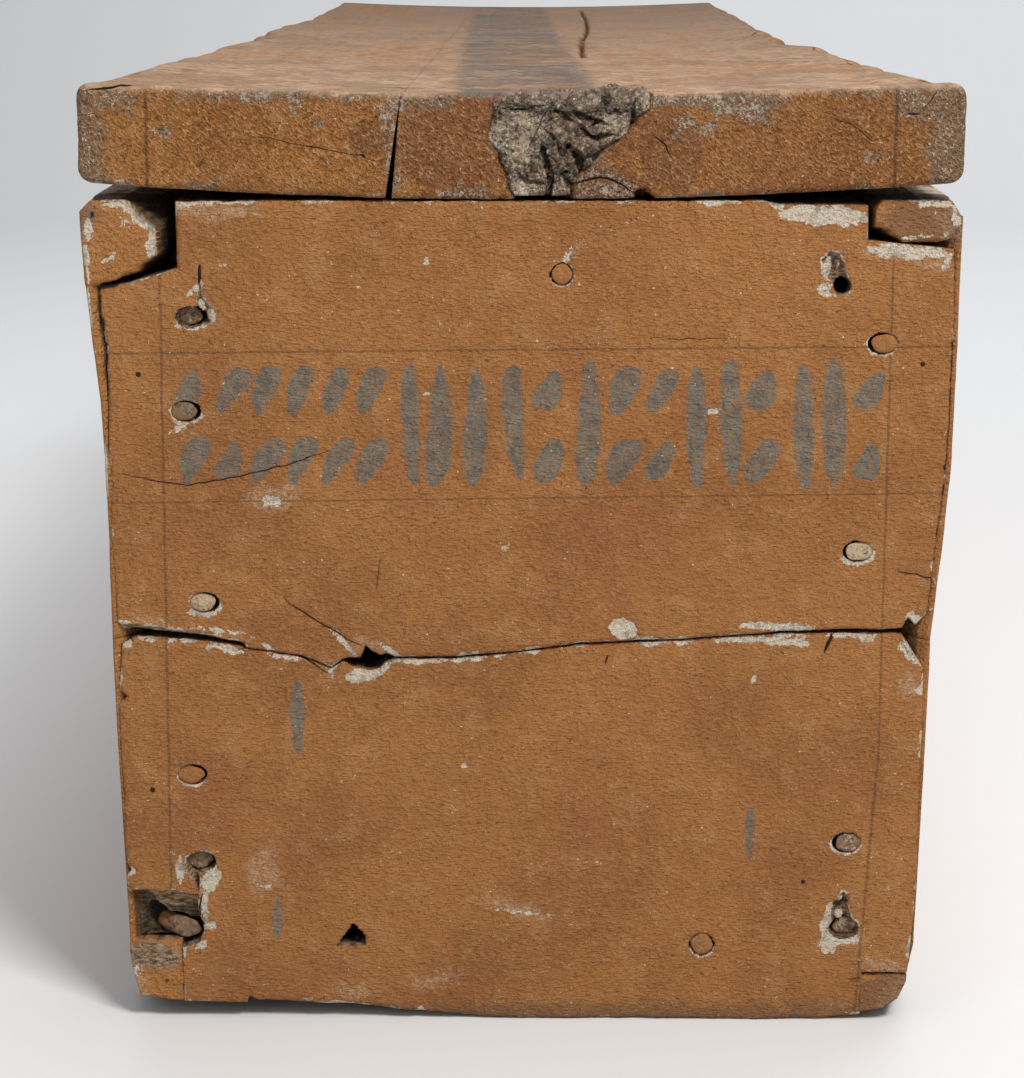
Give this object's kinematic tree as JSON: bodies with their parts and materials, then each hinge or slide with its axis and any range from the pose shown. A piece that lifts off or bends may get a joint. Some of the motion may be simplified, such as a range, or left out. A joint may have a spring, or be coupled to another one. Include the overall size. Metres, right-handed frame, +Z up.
{
  "type": "wooden coffin",
  "caption": "Old rectangular plank coffin, hollow under a loose flat lid, with shouldered mitre corners and slanting pegs.",
  "frame": {"origin": "on the ground under the middle of the box", "axes": "+Y along the length towards the far end, +Z up, the detailed near end faces -Y"},
  "size_m": [0.468, 2, 0.5223],
  "materials": {
    "painted_wood": "matte",
    "lid_wood": "matte",
    "bare_wood": "matte",
    "peg_wood": "matte",
    "mud_plaster": "matte"
  },
  "bodies": {
    "root": {"far_end_lower_plank": "painted_wood", "far_end_peg_left_1": "peg_wood", "far_end_peg_left_2": "peg_wood", "far_end_peg_left_3": "peg_wood", "far_end_peg_left_4": "peg_wood", "far_end_peg_right_1": "peg_wood", "far_end_peg_right_2": "peg_wood", "far_end_peg_right_3": "peg_wood", "far_end_peg_right_4": "peg_wood", "far_end_upper_plank": "painted_wood", "floor_plank_left": "bare_wood", "floor_plank_right": "bare_wood", "left_side_lower_plank": "painted_wood", "left_side_upper_plank": "painted_wood", "lid_mud_fill": "mud_plaster", "lid_plank_left": "lid_wood", "lid_plank_right": "lid_wood", "near_end_lower_plank": "painted_wood", "near_end_peg_centre": "peg_wood", "near_end_peg_floor": "peg_wood", "near_end_peg_left_1": "peg_wood", "near_end_peg_left_2": "peg_wood", "near_end_peg_left_3": "peg_wood", "near_end_peg_left_4": "peg_wood", "near_end_peg_left_5": "peg_wood", "near_end_peg_left_6": "peg_wood", "near_end_peg_right_1": "peg_wood", "near_end_peg_right_2": "peg_wood", "near_end_peg_right_3": "peg_wood", "near_end_peg_right_4": "peg_wood", "near_end_upper_plank": "painted_wood", "right_side_lower_plank": "painted_wood", "right_side_upper_plank": "painted_wood"}
  },
  "joints": []
}
